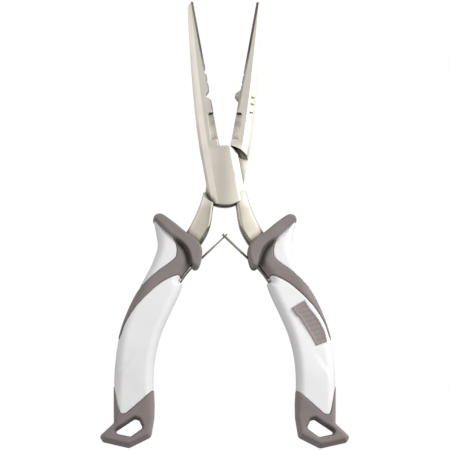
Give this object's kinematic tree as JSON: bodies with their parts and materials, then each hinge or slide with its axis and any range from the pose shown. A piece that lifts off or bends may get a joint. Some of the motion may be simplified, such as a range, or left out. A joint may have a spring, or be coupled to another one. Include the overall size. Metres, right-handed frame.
{
  "type": "fishing pliers",
  "caption": "Long-nose fishing pliers with a side cutter, lap joint, guarded two-colour grips, lanyard eyes and crossed leaf springs.",
  "frame": {"origin": "under the pivot, in the middle of the thickness, level with the ends of the handles", "axes": "+Z along the jaws, +X towards the front lever's handle, -Y is the front face where the front lever lies on top"},
  "size_m": [0.1128, 0.018, 0.2081],
  "materials": {
    "lever_steel": "satin nickel over forged carbon steel",
    "rivet_steel": "ground flush",
    "spring_steel": "tempered strip, slightly dark",
    "white_plastic": "satin moulded white",
    "grey_rubber": "soft-touch warm grey",
    "badge_rubber": "warm grey inlay with a raised rim, no lettering"
  },
  "bodies": {
    "front_side": {"front_lever": "lever_steel", "pivot_rivet": "rivet_steel", "right_guard": "grey_rubber", "right_tail_cap": "grey_rubber", "right_badge": "badge_rubber", "right_grip_core": "white_plastic", "right_spring_pin": "rivet_steel"},
    "rear_side": {"rear_lever": "lever_steel", "left_guard": "grey_rubber", "left_tail_cap": "grey_rubber", "left_grip_core": "white_plastic", "left_spring_pin": "rivet_steel"},
    "right_spring": {"right_spring_leaf": "spring_steel"},
    "left_spring": {"left_spring_leaf": "spring_steel"}
  },
  "joints": [
    {"name": "jaw_pivot", "type": "hinge", "parent": "front_side", "child": "rear_side", "pos_m": [0, 0, 0.1254], "axis": [0, 1, 0], "range_deg": [-20.1, 9], "stiffness_Nm_per_rad": 0.5},
    {"name": "right_spring_bend", "type": "hinge", "parent": "front_side", "child": "right_spring", "pos_m": [0.0213, 0, 0.0744], "axis": [0, 1, 0], "range_deg": [-5, 11.6]},
    {"name": "left_spring_bend", "type": "hinge", "parent": "rear_side", "child": "left_spring", "pos_m": [-0.0213, 0, 0.0744], "axis": [0, 1, 0], "range_deg": [-11.6, 5]}
  ],
  "couplings": [
    {"joint": "right_spring_bend", "follows": "jaw_pivot", "ratio": -0.54},
    {"joint": "left_spring_bend", "follows": "jaw_pivot", "ratio": 0.54}
  ]
}
